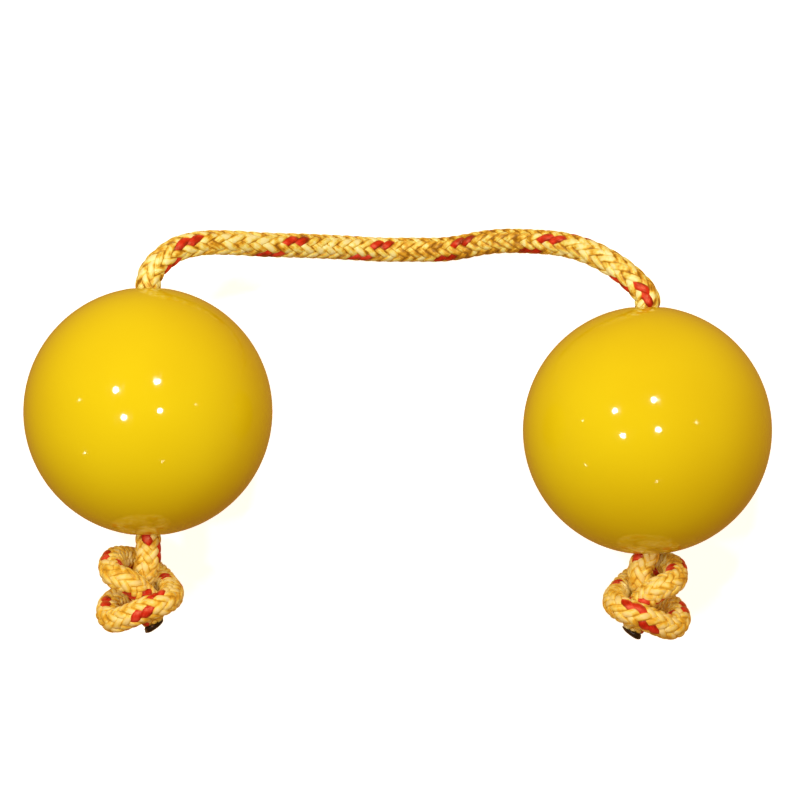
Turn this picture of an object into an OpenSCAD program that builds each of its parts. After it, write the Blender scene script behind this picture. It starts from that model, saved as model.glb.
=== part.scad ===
// Pair of percussion shaker balls on one braided cord.
//
// The pair lies on a table: X runs from the left ball to the right ball, Y runs
// along the bores towards the free cord, Z is up. The origin is on the table,
// midway between the balls. Each ball is two moulded shells on a guide tube, with
// loose steel shot inside. The cord runs through both bores and ends in an
// overhand knot under each ball.

/* [Balls] */
// Outside diameter of a ball
ball_d = 50; // [48:0.5:52]
// Thickness of the moulded shell
wall = 2.4; // [2:0.1:3]
// Distance between the ball centres, across
ball_spacing = 100.4; // [98:0.2:104]
// How much further along the bores the left ball's centre lies than the right one's
ball_stagger = 3.8; // [3:0.2:5]
// Height of the lip that centres one shell in the other
lip_h = 2; // [1:0.5:3]

/* [Bore] */
// Diameter of the hole that the cord runs through
bore_d = 6; // [5.8:0.1:6.4]
// Radius of the hole's rounded rim
rim_round = 0.8; // [0.5:0.1:1.2]
// Outside diameter of the guide tube
tube_d = 9; // [8.8:0.1:9.6]
// Thickness of shell left outside the guide tube's end
tube_cover = 3.6; // [3:0.1:4.5]

/* [Shot] */
// Diameter of a steel pellet
pellet_d = 4; // [3:0.5:4]
// Rings of pellets around the lowest one
pellet_rings = 2; // [1:1:3]

/* [Cord] */
// Diameter of the braided cord
cord_d = 5.2; // [5:0.1:5.3]
// Free cord between the left ball and its knot
left_gap = 2.4; // [1:0.2:4]
// Distance from a ball's surface to the point where its cord bends
bend_out = 2.9; // [2.7:0.1:3.2]
// Length of the black melted end
sealed_l = 1.4; // [1:0.2:2]

/* [Hidden] */

ball_r = ball_d / 2;
cord_r = cord_d / 2;
bore_r = bore_d / 2;
tube_r = tube_d / 2;
pellet_r = pellet_d / 2;
cavity_r = ball_r - wall;

// clearance of the lip in its rebate, and of the shells around the guide tube
lip_play = 0.05;
tube_play = 0.08;
// clearance of a pellet in the cavity, and between two pellets
pellet_play = 0.1;

lip_r = ball_r - wall / 2;
rim_r = bore_r + rim_round;
rim_z = sqrt(ball_r * ball_r - rim_r * rim_r);
tube_half = ball_r - tube_cover - tube_play;
boss_r = tube_r + 2.4;
boss_z = ball_r - wall - 6;

// ball centres
left_ball = [-ball_spacing / 2, ball_stagger / 2, ball_r];
right_ball = [ball_spacing / 2, -ball_stagger / 2, ball_r];

// the places where the cord bends as a ball swings, and where it folds in the middle
left_bend = left_ball + [0, ball_r + bend_out, 0];
right_bend = right_ball + [0, ball_r + bend_out, 0];
mid_bend = [2.5, 35.5, cord_r];

// A rounded end fills each bend, in a slightly larger cup in the next length of cord.
dome_r = 0.93 * cord_r;
cup_r = dome_r + 0.15;
// how far the full thickness ends before a ball's bend, so that the cup's edge can swing past
neck = 1.9;

// Centreline of the free cord, from just beyond the left bend to the middle ...
left_route = [
    [-50.2, 30.8, 25], [-49.5, 32.3, 24.9], [-47.6, 34, 24.5], [-44.8, 35.4, 23.5], [-41, 36.2, 21.8],
    [-35, 36.4, 18.4], [-27.5, 36, 13.8], [-19, 36, 8.8], [-10.5, 35.8, 4.8], [-3.5, 35.5, 2.9],
    mid_bend
];
// ... and from just beyond the middle to the right bend.
right_route = [
    [4.5, 35.5, 2.6], [9, 35.5, 3.2], [13.5, 36, 4.7], [17.5, 36.7, 6.6], [22, 37, 9],
    [28, 36.7, 12.4], [33.5, 36, 15.8], [38.5, 34.4, 19], [43.2, 31.9, 22], [46.8, 29.4, 23.9],
    [49.3, 27.4, 24.8]
];

// Centreline of the left ball's knot: across, down from the ball, and up towards
// the viewer. The right ball's knot is its mirror image.
knot_line = [
    [0, 0, 0], [0, 2.5, 0], [-0.5, 4.5, -0.5], [-1, 6.5, -2.5], [-2.5, 8.5, -4.5],
    [-4.5, 9.5, -6], [-6.5, 10.5, -6], [-8, 12, -3.5], [-8, 13.5, -0.5],
    [-6.5, 14.5, 2], [-3.5, 13.5, 4], [0, 12, 5], [3, 11, 4.5], [4.5, 10, 2],
    [4.5, 9, -1.5], [3.5, 8, -4.5], [1.5, 6, -7], [-1.5, 4, -7.5], [-4.5, 2.5, -6],
    [-7, 2.5, -3], [-7.5, 4, 0], [-6.5, 5.5, 2.5], [-4, 6.5, 3.5], [-2, 8, 2.5],
    [0, 10.5, 0.5], [0, 12, -1], [0.5, 14, -1.5], [1, 15.5, -1.5]
];

// How far the right ball's knot hangs towards the left ball.
right_knot_aside = 1.8;

// The knot's centreline from its seat: side is -1 left and 1 right.
function knot_route(side) = [
    for (i = [0 : len(knot_line) - 1])
        let (p = knot_line[i], aside = side > 0 ? right_knot_aside * min(1, 0.7 * i) : 0)
            [-side * p[0] - aside, -p[1], p[2]]
];

// ---- curves ----

// A point of the smooth curve between b and c, with a before and d after them.
function between(a, b, c, d, t) =
    0.5 * (2 * b + (c - a) * t + (2 * a - 5 * b + 4 * c - d) * t * t
        + (3 * b - a - 3 * c + d) * t * t * t);

// The smooth curve through the points, in steps to each stretch between two of them.
function smooth(points, steps) =
    let (
        last = len(points) - 1,
        padded = concat(
            [2 * points[0] - points[1]], points, [2 * points[last] - points[last - 1]]
        )
    )
    concat(
        [
            for (i = [1 : last])
                for (k = [0 : steps - 1])
                    between(padded[i - 1], padded[i], padded[i + 1], padded[i + 2], k / steps)
        ],
        [points[last]]
    );

function unit(v) = v / norm(v);

// The direction of a curve at one of its points.
function heading(line, i) =
    unit(line[min(i + 1, len(line) - 1)] - line[max(i - 1, 0)]);

// One ring of points around a curve that never runs straight up.
function ring(line, i, r, sides) =
    let (
        ahead = heading(line, i),
        across = unit(cross(ahead, [0, 0, 1])),
        over = cross(across, ahead)
    )
    [for (k = [0 : sides - 1]) line[i] + r * (cos(360 * k / sides) * across + sin(360 * k / sides) * over)];

// ---- shared shapes ----

// A closed tube along a line of points.
module cord_tube(line, r = cord_r, sides = 12) {
    rings = len(line);
    points = [for (i = [0 : rings - 1]) each ring(line, i, r, sides)];
    walls = [
        for (i = [0 : rings - 2])
            for (k = [0 : sides - 1])
                [i * sides + k, i * sides + (k + 1) % sides,
                 (i + 1) * sides + (k + 1) % sides, (i + 1) * sides + k]
    ];
    first = [for (k = [sides - 1 : -1 : 0]) k];
    last = [for (k = [0 : sides - 1]) (rings - 1) * sides + k];
    polyhedron(points = points, faces = concat([first], walls, [last]));
}

// Turns a shape that stands on its Z axis to lie along the bores, at a ball's centre.
module along_bore(ball) {
    translate(ball) rotate([-90, 0, 0]) children();
}

// Half of a ball, on +Z, with the boss that holds one end of the guide tube.
module half_ball() {
    difference() {
        union() {
            difference() {
                sphere(r = ball_r, $fn = 96);
                sphere(r = cavity_r, $fn = 96);
                translate([0, 0, -ball_r]) cube([3 * ball_r, 3 * ball_r, 2 * ball_r], center = true);
            }
            intersection() {
                translate([0, 0, boss_z]) cylinder(r = boss_r, h = ball_r - boss_z, $fn = 64);
                sphere(r = ball_r - wall / 2, $fn = 96);
            }
        }
        translate([0, 0, boss_z - 1])
            cylinder(r = tube_r + tube_play, h = tube_half + tube_play - boss_z + 1, $fn = 64);
        cylinder(r = bore_r, h = 2 * ball_r, $fn = 64);
        difference() {
            translate([0, 0, rim_z - rim_round]) cylinder(r = rim_r, h = ball_r, $fn = 64);
            translate([0, 0, rim_z - rim_round])
                rotate_extrude($fn = 64) translate([rim_r, 0]) circle(r = rim_round, $fn = 48);
        }
    }
}

// ---- the ball ----

module upper_shell(ball) {
    color("gold") along_bore(ball) {
        half_ball();
        difference() {
            translate([0, 0, -lip_h]) cylinder(r = lip_r, h = 2 * lip_h, $fn = 96);
            sphere(r = cavity_r, $fn = 96);
        }
    }
}

module lower_shell(ball) {
    color("gold") along_bore(ball) difference() {
        mirror([0, 0, 1]) half_ball();
        translate([0, 0, -lip_h - lip_play])
            cylinder(r = lip_r + lip_play, h = 2 * lip_h, $fn = 96);
    }
}

module guide_tube(ball) {
    color("khaki") along_bore(ball) difference() {
        cylinder(r = tube_r, h = 2 * tube_half, center = true, $fn = 64);
        cylinder(r = bore_r, h = 2 * ball_r, center = true, $fn = 64);
    }
}

// The pellets lie in the lowest part of the cavity, one ring around another.
module shot(ball) {
    orbit = cavity_r - pellet_r - pellet_play;
    pitch = pellet_d + 2 * pellet_play;
    ring_step = asin(pitch / orbit);
    color("silver") translate(ball) {
        translate([0, 0, -orbit]) sphere(r = pellet_r, $fn = 32);
        for (k = [1 : pellet_rings]) {
            tilt = k * ring_step;
            count = floor(180 / asin(pitch / 2 / (orbit * sin(tilt))) + 0.001);
            for (n = [0 : count - 1])
                rotate([0, tilt, 360 * n / count])
                    translate([0, 0, -orbit]) sphere(r = pellet_r, $fn = 32);
        }
    }
}

// ---- the cord ----

// The straight length through a ball, from its knot to its bend.
module bore_cord(ball, gap) {
    low = -ball_r - gap;
    high = ball_r + bend_out;
    color("goldenrod") along_bore(ball) {
        translate([0, 0, low]) cylinder(r = cord_r, h = high - low - neck, $fn = 48);
        translate([0, 0, high]) sphere(r = dome_r, $fn = 48);
    }
}

// The overhand knot, as the cord's own thick line: side is -1 left and 1 right.
module knot(ball, gap, side) {
    seat = ball - [0, ball_r + gap, 0];
    line = [for (p = smooth(knot_route(side), 2)) seat + p];
    tail = line[len(line) - 1];
    trim = 2 * cord_r + 0.2;
    color("goldenrod") difference() {
        for (i = [0 : len(line) - 2])
            hull() {
                translate(line[i]) sphere(r = cord_r, $fn = 12);
                translate(line[i + 1]) sphere(r = cord_r, $fn = 12);
            }
        translate(seat + [0, trim / 2, 0]) cube(trim, center = true);
        translate(tail - [0, trim / 2, 0]) cube(trim, center = true);
    }
}

module sealed_end(ball, gap, side) {
    seat = ball - [0, ball_r + gap, 0];
    tail = seat + knot_route(side)[len(knot_line) - 1];
    color("black") translate(tail) rotate([90, 0, 0])
        cylinder(r1 = 0.94 * cord_r, r2 = 0.8 * cord_r, h = sealed_l, $fn = 48);
}

module left_cord_span() {
    color("goldenrod") union() {
        difference() {
            cord_tube(smooth(left_route, 2));
            translate(left_bend) sphere(r = cup_r, $fn = 48);
        }
        translate(mid_bend) sphere(r = dome_r, $fn = 48);
    }
}

module right_cord_span() {
    color("goldenrod") difference() {
        cord_tube(smooth(right_route, 2));
        translate(mid_bend) sphere(r = cup_r, $fn = 48);
        translate(right_bend) sphere(r = cup_r, $fn = 48);
    }
}

left_cord_span();
right_cord_span();
bore_cord(left_ball, left_gap);  // left_bore_cord
bore_cord(right_ball, 0);  // right_bore_cord
knot(left_ball, left_gap, -1);  // left_knot
knot(right_ball, 0, 1);  // right_knot
sealed_end(left_ball, left_gap, -1);  // left_sealed_end
sealed_end(right_ball, 0, 1);  // right_sealed_end
upper_shell(left_ball);  // left_upper_shell
upper_shell(right_ball);  // right_upper_shell
lower_shell(left_ball);  // left_lower_shell
lower_shell(right_ball);  // right_lower_shell
guide_tube(left_ball);  // left_guide_tube
guide_tube(right_ball);  // right_guide_tube
shot(left_ball);  // left_shot
shot(right_ball);  // right_shot
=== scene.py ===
"""Pair of percussion shaker balls on one braided cord: the looks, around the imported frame."""
import math

import bpy
import numpy as np
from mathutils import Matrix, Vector


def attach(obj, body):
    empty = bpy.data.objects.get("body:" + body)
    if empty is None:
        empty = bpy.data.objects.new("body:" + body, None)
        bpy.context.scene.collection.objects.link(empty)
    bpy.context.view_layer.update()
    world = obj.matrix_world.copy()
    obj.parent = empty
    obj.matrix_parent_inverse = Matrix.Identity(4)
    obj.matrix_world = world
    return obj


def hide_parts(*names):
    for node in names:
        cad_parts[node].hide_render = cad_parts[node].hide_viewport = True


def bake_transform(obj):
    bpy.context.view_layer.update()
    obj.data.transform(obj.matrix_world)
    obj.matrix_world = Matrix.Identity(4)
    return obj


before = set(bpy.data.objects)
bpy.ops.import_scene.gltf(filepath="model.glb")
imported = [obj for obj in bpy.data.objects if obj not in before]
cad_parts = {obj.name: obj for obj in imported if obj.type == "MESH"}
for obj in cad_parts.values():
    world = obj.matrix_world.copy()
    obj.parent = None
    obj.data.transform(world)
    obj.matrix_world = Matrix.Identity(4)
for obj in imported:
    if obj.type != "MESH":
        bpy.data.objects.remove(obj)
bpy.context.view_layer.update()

MM = 0.001


# ---------------------------------------------------------------- driving dimensions
# The sizes and places that the CAD gives the balls and the cord.
BALL_R = 25 * MM
WALL = 2.4 * MM
LIP_H = 2 * MM
LIP_PLAY = 0.05 * MM
BORE_R = 3 * MM
RIM_ROUND = 0.8 * MM
TUBE_R = 4.5 * MM
TUBE_PLAY = 0.08 * MM
TUBE_COVER = 3.6 * MM
BOSS_WALL = 2.4 * MM
BOSS_H = 6 * MM
CORD_D = 5.2 * MM
LEFT_GAP = 2.4 * MM
SEALED_L = 1.4 * MM
# The melted cap's rings, as shares of its depth and of the cord's radius, and how it slants.
CAP_RINGS = [
    (0.0, 0.70), (0.12, 0.79), (0.35, 0.82), (0.6, 0.76), (0.82, 0.6), (0.95, 0.4), (1.0, 0.16),
]
CAP_SHARE = 0.75
CAP_TILT = 0.3
CAP_ASIDE = 0.1 * MM
# how far inside a ball its knotted cord hands over to the free cord
HAND_OVER = 4 * MM

LEFT = np.array([-50.2, 1.9, 25]) * MM
RIGHT = np.array([50.2, -1.9, 25]) * MM

# The cord's route, as in the CAD but for the first and last few points, where it leaves the
# balls slanting: free cord from the left bend to the middle ...
LEFT_BEND = np.array([-50.2, 29.8, 25]) * MM
MID_BEND = np.array([2.5, 35.5, 2.6]) * MM
RIGHT_BEND = np.array([50.2, 26, 25]) * MM
LEFT_ROUTE = [
    [-50.1, 28.3, 25], [-49.2, 30.5, 24.8], [-47.5, 32.4, 24.3], [-44.4, 34.7, 23],
    [-39.5, 36, 20.5], [-33.5, 36.2, 17.4], [-27.5, 36, 13.8], [-19, 36, 8.8],
    [-10.5, 35.8, 4.8], [-3.5, 35.5, 2.9], [2.5, 35.5, 2.6],
]
# ... and on to the right ball.
RIGHT_ROUTE = [
    [9, 35.5, 3.2], [13.5, 36, 4.7], [17.5, 36.7, 6.6], [22, 37, 9], [28, 36.7, 12.4],
    [33.5, 36, 15.8], [38.5, 34.4, 19], [43.2, 31.8, 22], [47, 28.8, 24], [50, 25.2, 24.9],
]
# The left knot's centreline: across, down from the ball and up towards the viewer.
KNOT_LINE = [
    [0, 0, 0], [0, 2.5, 0], [-0.5, 4.5, -0.5], [-1, 6.5, -2.5], [-2.5, 8.5, -4.5],
    [-4.5, 9.5, -6], [-6.5, 10.5, -6], [-8, 12, -3.5], [-8, 13.5, -0.5],
    [-6.5, 14.5, 2], [-3.5, 13.5, 4], [0, 12, 5], [3, 11, 4.5], [4.5, 10, 2],
    [4.5, 9, -1.5], [3.5, 8, -4.5], [1.5, 6, -7], [-1.5, 4, -7.5], [-4.5, 2.5, -6],
    [-7, 2.5, -3], [-7.5, 4, 0], [-6.5, 5.5, 2.5], [-4, 6.5, 3.5], [-2, 8, 2.5],
    [0, 10.5, 0.5], [0, 12, -1], [0.5, 14, -1.5], [1, 15.5, -1.5],
]
RIGHT_KNOT_ASIDE = 1.8 * MM

# The braid: eight strands turn each way, every one over two and under two.
STRANDS = 8
LEAD = 17 * MM
STRAND_W = 1.38 * MM
STRAND_T = 0.7 * MM
WEAVE = 0.26 * MM
BRAID_R = CORD_D / 2 - WEAVE - STRAND_T / 2
CORE_R = 1.8 * MM
# the melted ends draw the strands together by this share, over this length
MELT_L = 1.5 * MM
MELT_DRAW = 0.25
# The red strands are fuller than the yellow ones, and more so within KNOT_L of a tail.
RED_FULLER = 0.1
RED_FULLER_IN_KNOTS = 0.3
KNOT_L = 86 * MM
# the line's points lie this far apart
STEP = 0.3 * MM
# the stretch of the whole cord that is painted darker and more golden, as shade, from the left tail
SHADED_STRETCH = (202 * MM, 225 * MM)
# how far round from the cord's underside a row of stitches lies
STITCH_ROW = 115
RED_STRANDS = (0, 1)
# The two red strands cross that row at these distances from the left bend, in mm.
RED_TOPS = [-11, 9.3, 34.3, 53.8, 71.8, 92.3, 116.8]
# How far they have turned at the balls' lower holes, and go on turning along each knot.
LEFT_HOLE_TURN = -1.98
RIGHT_HOLE_TURN = 9.14
KNOT_TURNS = [
    (0, 0), (8, 0.62), (18, 1.43), (30, 2.21), (42, 2.97), (54, 4.28), (68, 5.75), (75, 6.15),
    (84, 7.1), (95, 8),
]
# the strands' pitch changes gently, over this length
TURN_EASE = 12 * MM
# Points of the line this near each other press, if they lie this far apart along the cord.
PRESS_REACH = 1.3 * CORD_D
PRESS_APART = 1.7 * CORD_D
PRESS_GAP = 0.03 * MM

LAMP_DISTANCE = 0.6
LAMP_COLOUR = (1.0, 0.98, 0.9)
CEILING_LAMPS = [
    (-0.48, 0.31, 0.82), (0.12, 0.46, 0.88), (-0.37, -0.08, 0.92), (0.18, 0.015, 0.98),
]
CEILING_POWER = [0.77, 0.83, 0.62, 0.53]
CEILING_SIZE = 0.045
FAR_LAMPS = [
    (-0.88, 0.14, 0.45), (-0.8, -0.48, 0.35), (0.7, 0.11, 0.71), (0.17, -0.72, 0.68),
]
FAR_POWER = 0.015
FAR_SIZE = 0.018
ROOM_DARK = (0.26, 0.09, 0.012, 1)
ROOM_LIGHT = (0.66, 0.35, 0.08, 1)
BACKDROP = (0.95, 0.95, 0.95, 1)
FLOOR_SIZE = 6.0
FLOOR_GLOW = 0.8
# The camera hangs this far above the balls' middle, and sees this much of it across.
CAMERA_UP = 0.65
CAMERA_OVER = (0.47 * MM, 4.2 * MM)
VIEW_WIDTH = 0.161
SENSOR = 36


# ---------------------------------------------------------------- camera, light and floor
def add_camera():
    """Straight above the balls, as the photograph looks at them."""
    data = bpy.data.cameras.new("camera")
    data.sensor_width = SENSOR
    data.lens = SENSOR * CAMERA_UP / VIEW_WIDTH
    cam = bpy.data.objects.new("camera", data)
    cam.location = (*CAMERA_OVER, BALL_R + CAMERA_UP)
    bpy.context.scene.collection.objects.link(cam)
    bpy.context.scene.camera = cam


def add_lamp(name, way, size, power):
    """A round lamp that shines at the middle of the pair, from the direction given."""
    data = bpy.data.lights.new(name, "AREA")
    data.shape = "DISK"
    data.size = size
    data.energy = power
    data.color = LAMP_COLOUR
    lamp = bpy.data.objects.new(name, data)
    aim = Vector(way).normalized()
    lamp.location = aim * LAMP_DISTANCE + Vector((0, 0, BALL_R))
    lamp.rotation_euler = aim.to_track_quat("Z", "Y").to_euler()
    bpy.context.scene.collection.objects.link(lamp)


def add_lights():
    """Four ceiling lamps give the main highlights, and four weak ones the small highlights."""
    for i, way in enumerate(CEILING_LAMPS):
        add_lamp(f"ceiling_lamp_{i + 1}", way, CEILING_SIZE, CEILING_POWER[i])
    for i, way in enumerate(FAR_LAMPS):
        add_lamp(f"far_lamp_{i + 1}", way, FAR_SIZE, FAR_POWER)
    bpy.context.scene.world = room()


def room():
    """A dim warm room, a little brighter beyond the balls, behind a pale backdrop."""
    world = bpy.data.worlds.new("room")
    world.use_nodes = True
    tree = world.node_tree
    place = tree.nodes.new("ShaderNodeTexCoord").outputs["Generated"]
    split = tree.nodes.new("ShaderNodeSeparateXYZ")
    tree.links.new(place, split.inputs["Vector"])
    along = tree.nodes.new("ShaderNodeMapRange")
    along.inputs["From Min"].default_value = -1
    tree.links.new(split.outputs["Y"], along.inputs["Value"])
    warm = tree.nodes.new("ShaderNodeMix")
    warm.data_type = "RGBA"
    warm.inputs[6].default_value = ROOM_DARK
    warm.inputs[7].default_value = ROOM_LIGHT
    tree.links.new(along.outputs["Result"], warm.inputs[0])
    seen = tree.nodes.new("ShaderNodeMix")
    seen.data_type = "RGBA"
    seen.inputs[7].default_value = BACKDROP
    rays = tree.nodes.new("ShaderNodeLightPath").outputs
    tree.links.new(rays["Is Camera Ray"], seen.inputs[0])
    tree.links.new(warm.outputs[2], seen.inputs[6])
    tree.links.new(seen.outputs[2], tree.nodes["Background"].inputs["Color"])
    return world


def add_floor():
    """A plain pale floor, which glows a little so that its shadows stay soft."""
    half = FLOOR_SIZE / 2
    corners = [(-half, -half, 0), (half, -half, 0), (half, half, 0), (-half, half, 0)]
    mesh = bpy.data.meshes.new("floor")
    mesh.from_pydata(corners, [], [(0, 1, 2, 3)])
    floor = bpy.data.objects.new("floor", mesh)
    bpy.context.scene.collection.objects.link(floor)
    # the balls mirror and gather the warm room, not this white sheet
    floor.visible_glossy = False
    floor.visible_diffuse = False
    mat = bpy.data.materials.new("floor")
    mat.use_nodes = True
    shader = mat.node_tree.nodes["Principled BSDF"]
    shader.inputs["Base Color"].default_value = (0.9, 0.9, 0.9, 1)
    shader.inputs["Roughness"].default_value = 0.9
    shader.inputs["Specular IOR Level"].default_value = 0.1
    shader.inputs["Emission Color"].default_value = (1, 0.97, 0.93, 1)
    shader.inputs["Emission Strength"].default_value = FLOOR_GLOW
    mesh.materials.append(mat)


# ---------------------------------------------------------------- curves
def smooth(points, steps=12):
    """The smooth curve through the points (Catmull-Rom), in metres."""
    p = np.array(points, float)
    p = np.vstack([2 * p[0] - p[1], p, 2 * p[-1] - p[-2]])
    t = np.linspace(0, 1, steps, endpoint=False)[:, None]
    parts = []
    for a, b, c, d in zip(p[:-3], p[1:-2], p[2:-1], p[3:]):
        square = 2 * a - 5 * b + 4 * c - d
        cube = 3 * b - a - 3 * c + d
        parts.append(0.5 * (2 * b + (c - a) * t + square * t**2 + cube * t**3))
    return np.vstack(parts + [p[-2]])


def arc_length(line):
    return np.r_[0, np.cumsum(np.linalg.norm(np.diff(line, axis=0), axis=1))]


def even(line, step):
    """The same line with points an even step apart."""
    s = arc_length(line)
    count = int(round(s[-1] / step)) + 1
    at = np.linspace(0, s[-1], count)
    return np.column_stack([np.interp(at, s, line[:, k]) for k in range(3)])


def unit(v):
    return v / np.linalg.norm(v, axis=-1, keepdims=True)


def carried(tangent, side):
    """The sideways direction at every point, carried along the line without twist."""
    out = np.zeros_like(tangent)
    out[0] = side
    for i in range(1, len(tangent)):
        v = out[i - 1] - tangent[i] * np.dot(out[i - 1], tangent[i])
        out[i] = v / np.linalg.norm(v)
    return out


def frames(line, middle):
    """Tangent and two sideways directions: at the middle point the second one is straight up."""
    tangent = unit(np.gradient(line, axis=0))
    start = unit(np.cross(tangent[middle], [0, 0, 1.0]))
    side = np.vstack([carried(tangent[middle::-1], start)[:0:-1], carried(tangent[middle:], start)])
    return tangent, side, np.cross(side, tangent)


# ---------------------------------------------------------------- the whole cord's line
def knot_points(ball, gap, side):
    """The knot's centreline in the frame, from its seat down to the tail: side is -1 or 1."""
    k = np.array(KNOT_LINE, float) * MM
    # the right knot hangs aside from its second point on
    aside = RIGHT_KNOT_ASIDE * np.clip(0.7 * np.arange(len(k)), 0, 1) if side > 0 else 0
    seat = ball - np.array([0, BALL_R + gap, 0])
    return seat + np.column_stack([-side * k[:, 0] - aside, -k[:, 1], k[:, 2]])


def whole_cord():
    """The cord's centreline from the left tail to the right tail, in even steps."""
    left_knot = smooth(knot_points(LEFT, LEFT_GAP, -1))[::-1]
    right_knot = smooth(knot_points(RIGHT, 0, 1))
    left_way = LEFT_BEND - left_knot[-1]
    left_bore = [left_knot[-1] + left_way * f for f in (0.15, 0.5, 0.85, 0.93)]
    start = RIGHT + np.array([0, BALL_R - 1.5 * MM, 0])
    right_bore = [start + (right_knot[0] - start) * f for f in (0.0, 0.3, 0.65, 0.9)]
    free = np.array(LEFT_ROUTE + RIGHT_ROUTE) * MM
    span = np.vstack([left_bore, free, right_bore])
    middle = smooth(np.vstack([left_knot[-1], span, right_knot[0]]))
    line = np.vstack([left_knot[:-1], middle, right_knot[1:]])
    return even(line, STEP)


LINE = whole_cord()
S = arc_length(LINE)


def station(point):
    """How far along the cord a point lies."""
    return S[np.argmin(np.linalg.norm(LINE - np.array(point), axis=1))]


TANGENT, SIDE, OVER = frames(LINE, int(np.searchsorted(S, station(MID_BEND))))


def braid_turn():
    """How far the strands have turned at every point of the line, in radians."""
    tops = station(LEFT_BEND) + np.array(RED_TOPS) * MM
    away, gone = np.array(KNOT_TURNS).T
    hole = np.array([0, BALL_R, 0])
    before = station(LEFT - hole) - away[::-1] * MM
    after = station(RIGHT - hole) + away * MM
    at = np.r_[before, tops, after]
    turns = np.r_[LEFT_HOLE_TURN - gone[::-1], np.arange(len(tops)), RIGHT_HOLE_TURN + gone]
    turn = np.interp(S, at, turns)
    window = int(TURN_EASE / STEP) | 1
    padded = np.r_[
        turn[0] + (turn[1] - turn[0]) * np.arange(-(window // 2), 0),
        turn,
        turn[-1] + (turn[-1] - turn[-2]) * np.arange(1, window // 2 + 1),
    ]
    turn = np.convolve(padded, np.ones(window) / window, "valid")
    # the two red strands straddle the row of stitches there
    return 2 * math.pi * (turn - 1 / (4 * STRANDS))


TURN = braid_turn()
# The right knot mirrors the left one, so its red strands turn the other way: they
# change over inside the right ball, out of sight.
HAND = np.where(S < station(RIGHT), 1, -1)


# ---------------------------------------------------------------- meshes
def new_mesh(name, verts, faces):
    mesh = bpy.data.meshes.new(name)
    mesh.from_pydata([tuple(v) for v in verts], [], [tuple(int(i) for i in f) for f in faces])
    mesh.validate()
    mesh.update()
    mesh.shade_smooth()
    mesh.set_sharp_from_angle(angle=math.radians(55))
    obj = bpy.data.objects.new(name, mesh)
    bpy.context.scene.collection.objects.link(obj)
    return obj


def pressed(points, rings):
    """Flattens the cord where another pass of it presses on it, half way between the two."""
    out = points.copy()
    for i in np.unique(rings):
        away = np.linalg.norm(LINE - LINE[i], axis=1)
        near = (away < PRESS_REACH) & (np.abs(S - S[i]) > PRESS_APART)
        if not near.any():
            continue
        mine = rings == i
        for j in np.nonzero(near)[0][::3]:
            n = (LINE[j] - LINE[i]) / away[j]
            over = (out[mine] - (LINE[i] + LINE[j]) / 2) @ n + PRESS_GAP
            out[mine] -= np.clip(over, 0, None)[:, None] * n
    return out


# A strand's cross-section, as shares of its width and thickness: a rounded top on a flat back.
STRAND_PROFILE = [
    (-0.5, 0.0), (-0.42, 0.28), (-0.27, 0.43), (-0.1, 0.5), (0.1, 0.5),
    (0.27, 0.43), (0.42, 0.28), (0.5, 0.0), (0.25, -0.35), (-0.25, -0.35),
]


def on_cord(s, angle, radius):
    """Points at stations s, at an angle round the cord and a distance from its centreline."""
    def at(values):
        return np.column_stack([np.interp(s, S, values[:, k]) for k in range(3)])

    around = np.cos(angle)[:, None] * unit(at(SIDE)) + np.sin(angle)[:, None] * unit(at(OVER))
    drawn = 1 - np.clip(np.minimum(s, S[-1] - s) / MELT_L, 0, 1)
    return at(LINE) + (radius * (1 - MELT_DRAW * drawn**2))[:, None] * around


def strand(first, last, way, k):
    """One strand of the braid between two rings of the line: way is 1 or -1, k its place."""
    ids = np.arange(first, last + 1)
    row = math.radians(STITCH_ROW) - math.pi / (2 * STRANDS)
    angle = way * TURN[ids] + 2 * math.pi * k / STRANDS
    slope = np.arctan(BRAID_R * np.gradient(TURN, S)[ids])
    # strands that lie flatter round the cord are squeezed narrower
    width = STRAND_W * np.cos(slope) / math.cos(math.atan(2 * math.pi * BRAID_R / LEAD))
    if k in RED_STRANDS:
        knotted = (ids * STEP < KNOT_L) | (ids * STEP > S[-1] - KNOT_L)
        width *= 1 + (RED_FULLER + RED_FULLER_IN_KNOTS * knotted) * (way == HAND[ids])
    n = len(STRAND_PROFILE)
    verts = np.empty((len(ids) * n, 3))
    for q, (w, t) in enumerate(STRAND_PROFILE):
        s = S[ids] - way * w * width * np.sin(slope)
        a = angle + w * width * np.cos(slope) / BRAID_R
        # It dives where the strands of the other hand cross it, along their edges.
        crossing = STRANDS * (a + way * np.interp(s, S, TURN)) / (2 * math.pi) + k
        lift = way * np.cos(math.pi / 2 * (crossing - 0.5))
        lift *= 1.5 - 0.5 * lift**2
        verts[q::n] = on_cord(s, a + row, BRAID_R + WEAVE * lift + t * STRAND_T)
    faces = tube_faces(len(ids), n)
    across = np.tile([w for w, t in STRAND_PROFILE], len(ids))
    turned = angle + row
    aside = np.cos(turned)[:, None] * OVER[ids] - np.sin(turned)[:, None] * SIDE[ids]
    grain = np.cos(slope)[:, None] * aside - way * np.sin(slope)[:, None] * TANGENT[ids]
    return verts, np.repeat(ids, n), faces, across, np.repeat(grain, n, axis=0)


def tube_faces(rings, sides, start=0):
    """The faces of a closed tube whose points run ring by ring."""
    faces = []
    for i in range(rings - 1):
        a, b = start + i * sides, start + (i + 1) * sides
        faces += [(a + q, a + (q + 1) % sides, b + (q + 1) % sides, b + q) for q in range(sides)]
    faces.append(tuple(range(start + sides - 1, start - 1, -1)))
    faces.append(tuple(range(start + (rings - 1) * sides, start + rings * sides)))
    return faces


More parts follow.
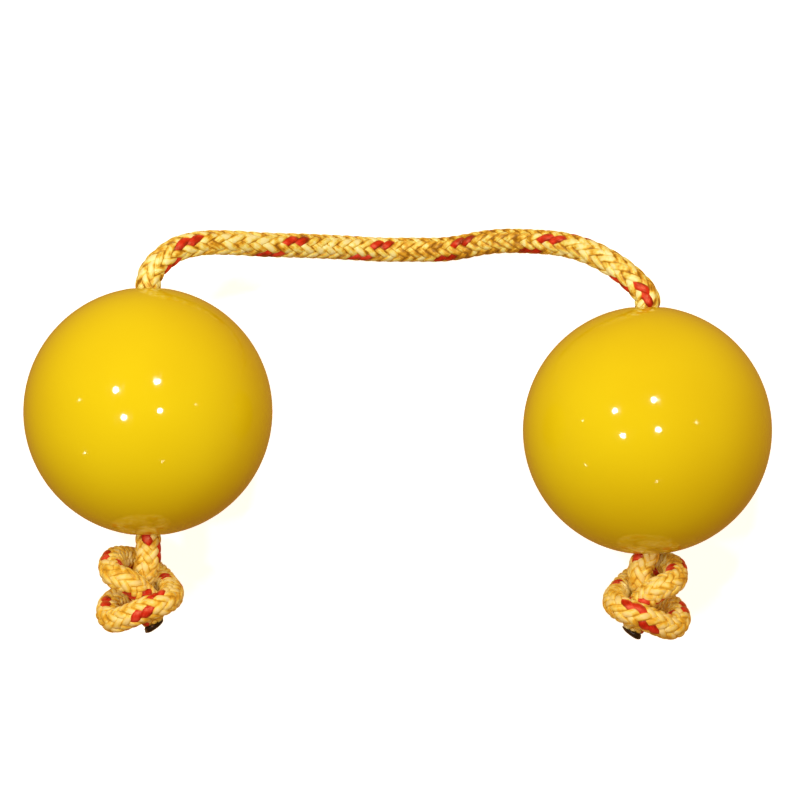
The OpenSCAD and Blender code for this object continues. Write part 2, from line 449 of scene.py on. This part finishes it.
def cord_section(name, s0, s1):
    """The braid between two stations, as one mesh whose attributes tell its strands apart."""
    first, last = int(np.searchsorted(S, s0)), min(int(np.searchsorted(S, s1)), len(S) - 1)
    verts, faces, rings, red, lane, across, grain = [], [], [], [], [], [], []
    total = 0
    for way in (1, -1):
        for k in range(STRANDS):
            v, r, f, w, g = strand(first, last, way, k)
            faces += [tuple(i + total for i in face) for face in f]
            total += len(v)
            verts.append(v)
            rings.append(r)
            across.append(w)
            grain.append(g)
            red.append(((way == HAND[r]) & (k in RED_STRANDS)).astype(float))
            lane.append(np.full(len(v), (2 * k + (way > 0)) / (2 * STRANDS)))
    # the core that fills the braid, so that no gap shows through
    ids = np.arange(first, last + 1)
    sides = 16
    turn = np.tile(np.arange(sides) * 2 * math.pi / sides, len(ids))
    core = on_cord(np.repeat(S[ids], sides), turn, np.full(len(turn), CORE_R))
    faces += tube_faces(len(ids), sides, total)
    verts.append(core)
    rings.append(np.repeat(ids, sides))
    across.append(np.zeros(len(core)))
    grain.append(np.repeat(OVER[ids], sides, axis=0))
    red.append(np.zeros(len(core)))
    lane.append(np.full(len(core), 2.0))
    verts, rings = np.vstack(verts), np.concatenate(rings)
    obj = new_mesh(name, pressed(verts, rings), faces)
    floats = {"red_strand": red, "lane": lane, "across": across, "along": [S[rings]]}
    for key, values in floats.items():
        attribute = obj.data.attributes.new(key, "FLOAT", "POINT")
        attribute.data.foreach_set("value", np.concatenate(values).astype(np.float32))
    attribute = obj.data.attributes.new("grain", "FLOAT_VECTOR", "POINT")
    attribute.data.foreach_set("vector", np.concatenate(grain).astype(np.float32).ravel())
    return obj


def lathe(name, profile, centre, segments=192):
    """A closed shape turned about the ball's bore; profile is (radius, along the bore)."""
    n = len(profile)
    ang = np.linspace(0, 2 * math.pi, segments, endpoint=False)
    r = np.array([p[0] for p in profile])
    y = np.array([p[1] for p in profile])
    turned = [np.column_stack([r * math.cos(a), y, r * math.sin(a)]) for a in ang]
    verts = np.vstack(turned) + centre
    faces = []
    for i in range(segments):
        a, b = i * n, ((i + 1) % segments) * n
        faces += [(a + q, b + q, b + (q + 1) % n, a + (q + 1) % n) for q in range(n)]
    return new_mesh(name, verts, faces)


# ---------------------------------------------------------------- materials
class Nodes:
    """Short names for building a material's nodes."""

    def __init__(self, name):
        self.mat = bpy.data.materials.new(name)
        self.mat.use_nodes = True
        self.tree = self.mat.node_tree
        self.shader = self.tree.nodes["Principled BSDF"]
        self.place = self.add("ShaderNodeTexCoord").outputs["Object"]

    def add(self, kind, **settings):
        node = self.tree.nodes.new(kind)
        for key, value in settings.items():
            setattr(node, key, value)
        return node

    def link(self, a, b):
        self.tree.links.new(a, b)

    def attribute(self, name):
        return self.add("ShaderNodeAttribute", attribute_name=name).outputs["Fac"]

    def math(self, operation, a, b=0.0):
        node = self.add("ShaderNodeMath", operation=operation)
        self.feed(a, node.inputs[0])
        self.feed(b, node.inputs[1])
        return node.outputs["Value"]

    def feed(self, value, socket):
        """Links a socket, or sets a plain value."""
        if isinstance(value, bpy.types.NodeSocket):
            self.link(value, socket)
        else:
            socket.default_value = value

    def mix(self, factor, a, b):
        node = self.add("ShaderNodeMix", data_type="RGBA")
        self.feed(factor, node.inputs[0])
        self.feed(a, node.inputs[6])
        self.feed(b, node.inputs[7])
        return node.outputs[2]

    def stretched(self, x, y, z):
        """Object coordinates with each axis scaled on its own."""
        node = self.add("ShaderNodeMapping")
        node.inputs["Scale"].default_value = (x, y, z)
        self.link(self.place, node.inputs["Vector"])
        return node.outputs["Vector"]

    def noise(self, scale, detail=3.0, rough=0.5, where=None):
        node = self.add("ShaderNodeTexNoise")
        node.inputs["Scale"].default_value = scale
        node.inputs["Detail"].default_value = detail
        node.inputs["Roughness"].default_value = rough
        self.link(where or self.place, node.inputs["Vector"])
        return node.outputs["Fac"]

    def ramp(self, fac, stops):
        node = self.add("ShaderNodeValToRGB")
        ramp = node.color_ramp
        while len(ramp.elements) < len(stops):
            ramp.elements.new(0.5)
        for element, (at, colour) in zip(ramp.elements, stops):
            element.position = at
            element.color = colour if len(colour) == 4 else (*colour, 1)
        self.link(fac, node.inputs["Fac"])
        return node.outputs["Color"]

    def grey_ramp(self, fac, stops):
        return self.ramp(fac, [(at, (value, value, value)) for at, value in stops])

    def bump(self, height, strength, distance, before=None):
        node = self.add("ShaderNodeBump")
        node.inputs["Strength"].default_value = strength
        node.inputs["Distance"].default_value = distance
        self.link(height, node.inputs["Height"])
        if before:
            self.link(before, node.inputs["Normal"])
        return node.outputs["Normal"]


def glossy_plastic():
    """Polished yellow plastic: slow colour drift, orange peel, fine scuffs that dull the gloss."""
    n = Nodes("glossy_yellow_plastic")
    drift = n.noise(28, 2)
    yellows = [(0.3, (0.77, 0.64, 0.006)), (0.5, (0.80, 0.69, 0.007)), (0.7, (0.83, 0.73, 0.009))]
    n.link(n.ramp(drift, yellows), n.shader.inputs["Base Color"])
    scuffs = n.noise(900, 4, 0.6, n.stretched(1, 0.18, 1))
    dulled = n.grey_ramp(scuffs, [(0.45, 0.06), (0.62, 0.10), (0.75, 0.2)])
    n.link(dulled, n.shader.inputs["Roughness"])
    peel = n.bump(n.noise(260, 2), 0.25, 0.00004)
    n.link(n.bump(scuffs, 0.08, 0.00002, peel), n.shader.inputs["Normal"])
    n.shader.inputs["IOR"].default_value = 1.46
    n.shader.inputs["Coat Weight"].default_value = 0.15
    n.shader.inputs["Coat Roughness"].default_value = 0.05
    return n.mat


def braid_material():
    """Polypropylene yarn: golden strands with a satin sheen, red tracers, fine filaments."""
    n = Nodes("braided_polypropylene")
    red = n.attribute("red_strand")
    lane = n.attribute("lane")
    # filaments run along each strand
    where = n.add("ShaderNodeCombineXYZ")
    n.link(n.math("MULTIPLY", n.attribute("across"), 11), where.inputs["X"])
    n.link(n.math("MULTIPLY", n.attribute("along"), 500), where.inputs["Y"])
    n.link(n.math("MULTIPLY", lane, 37), where.inputs["Z"])
    filaments = n.noise(1.0, 2, 0.6, where.outputs["Vector"])
    uneven = n.math("MULTIPLY", n.math("SUBTRACT", filaments, 0.5), 0.35)
    patches = n.math("ADD", n.noise(520, 2), uneven)
    # painted shade: each strand darkens towards its edges, where it dips into the creases between
    # strands
    edge = n.math("POWER", n.math("ABSOLUTE", n.math("MULTIPLY", n.attribute("across"), 2)), 3)
    patches = n.math("SUBTRACT", patches, n.math("MULTIPLY", edge, 0.3))
    # painted shade: one stretch of the cord is darker and more golden than the rest, standing in
    # for less light and sheen there
    away = n.math("ABSOLUTE", n.math("SUBTRACT", n.attribute("along"), sum(SHADED_STRETCH) / 2))
    golden = n.math("SUBTRACT", 1.5, n.math("MULTIPLY", away, 2 / (SHADED_STRETCH[1] - SHADED_STRETCH[0])))
    golden.node.use_clamp = True
    patches = n.math("SUBTRACT", patches, n.math("MULTIPLY", golden, 0.09))
    # painted light: the knots are a little brighter, and golden too, to make up for the shade they
    # cast on themselves
    from_middle = n.math("ABSOLUTE", n.math("SUBTRACT", n.attribute("along"), S[-1] / 2))
    knot_painted_light = n.math("GREATER_THAN", from_middle, S[-1] / 2 - KNOT_L)
    patches = n.math("ADD", patches, n.math("MULTIPLY", knot_painted_light, 0.03))
    yellow = n.ramp(
        patches,
        [
            (0.22, (0.34, 0.15, 0.008)), (0.36, (0.78, 0.44, 0.03)), (0.47, (0.90, 0.84, 0.19)),
            (0.60, (0.97, 1.0, 0.56)),
        ],
    )
    tracer = n.ramp(
        patches,
        [(0.25, (0.28, 0.004, 0.002)), (0.5, (0.66, 0.015, 0.008)), (0.72, (0.85, 0.08, 0.05))],
    )
    # painted light: the knots' yarn is mixed towards a bright orange-gold
    yellow = n.mix(n.math("MULTIPLY", knot_painted_light, 0.4), yellow, (1, 0.6, 0.05, 1))
    colour = n.mix(red, yellow, tracer)
    # painted shade: the core, seen through the gaps, is darker, standing in for the shade between
    # the strands
    core = n.math("GREATER_THAN", lane, 1.5)
    n.link(n.mix(core, colour, (0.30, 0.16, 0.015, 1)), n.shader.inputs["Base Color"])
    n.link(n.grey_ramp(filaments, [(0.3, 0.30), (0.7, 0.46)]), n.shader.inputs["Roughness"])
    fine = n.noise(6000, 2, 0.6)
    n.link(n.bump(filaments, 0.8, 0.00008, n.bump(fine, 0.2, 0.00003)), n.shader.inputs["Normal"])
    # satin: the gloss spreads across the filaments
    grain = n.add("ShaderNodeAttribute", attribute_name="grain").outputs["Vector"]
    n.link(grain, n.shader.inputs["Tangent"])
    n.shader.inputs["Anisotropic"].default_value = 0.7
    n.shader.inputs["IOR"].default_value = 1.5
    n.shader.inputs["Specular IOR Level"].default_value = 0.75
    n.shader.inputs["Specular Tint"].default_value = (1, 0.92, 0.5, 1)
    n.shader.inputs["Sheen Weight"].default_value = 0.3
    n.shader.inputs["Sheen Roughness"].default_value = 0.4
    n.shader.inputs["Sheen Tint"].default_value = (1, 0.85, 0.3, 1)
    return n.mat


def melted_plastic():
    """Charred, melted polypropylene: black, lumpy, dull in some places and glassy in others."""
    n = Nodes("melted_black_end")
    lumps = n.noise(900, 4)
    char = n.ramp(
        lumps,
        [(0.3, (0.006, 0.005, 0.004)), (0.58, (0.03, 0.015, 0.008)), (0.72, (0.35, 0.20, 0.07))],
    )
    n.link(char, n.shader.inputs["Base Color"])
    n.link(n.grey_ramp(lumps, [(0.3, 0.25), (0.7, 0.6)]), n.shader.inputs["Roughness"])
    n.link(n.bump(lumps, 0.6, 0.0003), n.shader.inputs["Normal"])
    return n.mat


def tube_plastic():
    """Pale, dull plastic with marks along the tube."""
    n = Nodes("guide_tube_plastic")
    marks = n.noise(300, 3, 0.6, n.stretched(1, 0.1, 1))
    pale = n.ramp(marks, [(0.3, (0.72, 0.60, 0.26)), (0.7, (0.82, 0.72, 0.38))])
    n.link(pale, n.shader.inputs["Base Color"])
    n.link(n.grey_ramp(marks, [(0.3, 0.4), (0.7, 0.55)]), n.shader.inputs["Roughness"])
    n.link(n.bump(marks, 0.3, 0.0001), n.shader.inputs["Normal"])
    return n.mat


def pellet_steel():
    """Plain steel shot with small marks."""
    n = Nodes("pellet_steel")
    marks = n.noise(1200, 4)
    grey = n.ramp(marks, [(0.3, (0.38, 0.37, 0.36)), (0.7, (0.62, 0.62, 0.63))])
    n.link(grey, n.shader.inputs["Base Color"])
    n.link(n.grey_ramp(marks, [(0.3, 0.25), (0.7, 0.45)]), n.shader.inputs["Roughness"])
    n.link(n.bump(marks, 0.3, 0.00005), n.shader.inputs["Normal"])
    n.shader.inputs["Metallic"].default_value = 1.0
    return n.mat


def clothe(obj, mat):
    obj.data.materials.clear()
    obj.data.materials.append(mat)


# ---------------------------------------------------------------- the pieces
def arc(radius, start, end, count, centre=(0.0, 0.0)):
    """Points of an arc, in degrees from the radius axis, as (radius, along) pairs."""
    across, along = centre
    return [
        (across + radius * math.cos(a), along + radius * math.sin(a))
        for a in np.radians(np.linspace(start, end, count))
    ]


def shell_profile(lip):
    """Half a ball, from its edge over the outside to the bore and back along the inside.

    The lip is the spigot that plugs into the other half.
    """
    cavity = BALL_R - WALL
    lip_r = BALL_R - WALL / 2
    rim_r = BORE_R + RIM_ROUND
    rim_y = math.sqrt(BALL_R**2 - rim_r**2)
    seat = BALL_R - TUBE_COVER
    socket_r = TUBE_R + TUBE_PLAY
    boss_r = TUBE_R + BOSS_WALL
    boss_y = BALL_R - WALL - BOSS_H
    top = math.degrees(math.atan2(rim_y, rim_r))
    foot = math.degrees(math.asin(math.sqrt(cavity**2 - boss_r**2) / cavity))
    outside = [(BALL_R, 0.0)] + arc(BALL_R, 0.05, top, 90)
    rim = arc(RIM_ROUND, 90, 180, 8, (rim_r, rim_y - RIM_ROUND))[1:]
    bore = [(BORE_R, seat), (socket_r, seat), (socket_r, boss_y), (boss_r, boss_y)]
    inside = arc(cavity, foot, 6, 40)
    if lip:
        y0 = -LIP_H
        end = [(math.sqrt(cavity**2 - LIP_H**2), y0), (lip_r, y0), (lip_r, 0.0)]
        inside += arc(cavity, 4, 0, 4) + end
    else:
        inner = lip_r + LIP_PLAY
        depth = LIP_H + LIP_PLAY
        inside += [(math.sqrt(cavity**2 - depth**2), depth), (inner, depth), (inner, 0.0)]
    return outside + rim + bore + inside


def add_shell(side, ball, lip, mat):
    name = f"{side}_{'upper' if lip else 'lower'}_shell"
    profile = shell_profile(lip)
    if not lip:
        profile = [(r, -y) for r, y in profile][::-1]
    obj = lathe(f"{name}_skin", profile, ball)
    clothe(obj, mat)
    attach(obj, f"{side}_ball")
    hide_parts(name)


def add_sealed_end(side, tail, ahead, mat):
    """The cord's melted end: a small lumpy black cap, cut slanting."""
    sides = 36
    right = unit(np.cross(ahead, [0, 0, 1.0]))
    up = np.cross(right, ahead)
    longer = 1 if side == "left" else -1
    verts = []
    for depth, width in CAP_RINGS:
        for q in range(sides):
            a = 2 * math.pi * q / sides
            lump = 1 + 0.05 * math.sin(3 * a + 1) + 0.03 * math.sin(7 * a + 5 * depth)
            r = CORD_D / 2 * width * lump
            tilt = CAP_TILT * longer * r * math.cos(a) * min(1, depth / CAP_RINGS[2][0])
            out = CAP_SHARE * SEALED_L * depth + tilt
            across = r * math.cos(a) - longer * CAP_ASIDE
            verts.append(tail + ahead * out + right * across + up * (r * math.sin(a)))
    obj = new_mesh(f"{side}_melted_end", verts, tube_faces(len(CAP_RINGS), sides))
    clothe(obj, mat)
    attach(obj, f"{side}_cord")
    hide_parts(f"{side}_sealed_end")


def main():
    bpy.context.scene.view_settings.view_transform = "Standard"
    add_camera()
    braid = braid_material()

    # the cord first: three lengths of free cord, then the knotted ends
    upper = np.array([0, BALL_R - HAND_OVER, 0])
    s_left, s_right = station(LEFT + upper), station(RIGHT + upper)
    s_a = s_left + (s_right - s_left) / 3
    s_b = s_left + (s_right - s_left) * 2 / 3
    # each with its name and stations, the two bodies it lies between, the bend where they meet, and
    # a length of ease on either side
    pieces = [
        ("left_cord", s_left, s_a, "left_cord", "left_span", LEFT_BEND, 5 * MM),
        ("middle_cord", s_a, s_b, "left_span", "right_span", MID_BEND, 11 * MM),
        ("right_cord", s_b, s_right, "right_span", "right_cord", RIGHT_BEND, 3.5 * MM),
    ]
    for name, s0, s1, body_a, body_b, bend, ease in pieces:
        obj = cord_section(name, s0, s1)
        clothe(obj, braid)
        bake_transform(obj)
    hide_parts("left_cord_span")
    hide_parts("left_cord_span", "right_cord_span")
    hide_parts("right_cord_span")

    for side, s0, s1 in (("left", 0.0, s_left), ("right", s_right, S[-1])):
        obj = cord_section(f"{side}_knotted_cord", s0, s1)
        clothe(obj, braid)
        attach(obj, f"{side}_cord")
        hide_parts(f"{side}_knot", f"{side}_bore_cord")

    black = melted_plastic()
    add_sealed_end("left", LINE[0], -TANGENT[0], black)
    add_sealed_end("right", LINE[-1], TANGENT[-1], black)

    yellow = glossy_plastic()
    for side, ball in (("left", LEFT), ("right", RIGHT)):
        add_shell(side, ball, True, yellow)
        add_shell(side, ball, False, yellow)

    tube, steel = tube_plastic(), pellet_steel()
    for side in ("left", "right"):
        clothe(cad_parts[f"{side}_guide_tube"], tube)
        clothe(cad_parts[f"{side}_shot"], steel)

    add_lights()
    add_floor()


main()
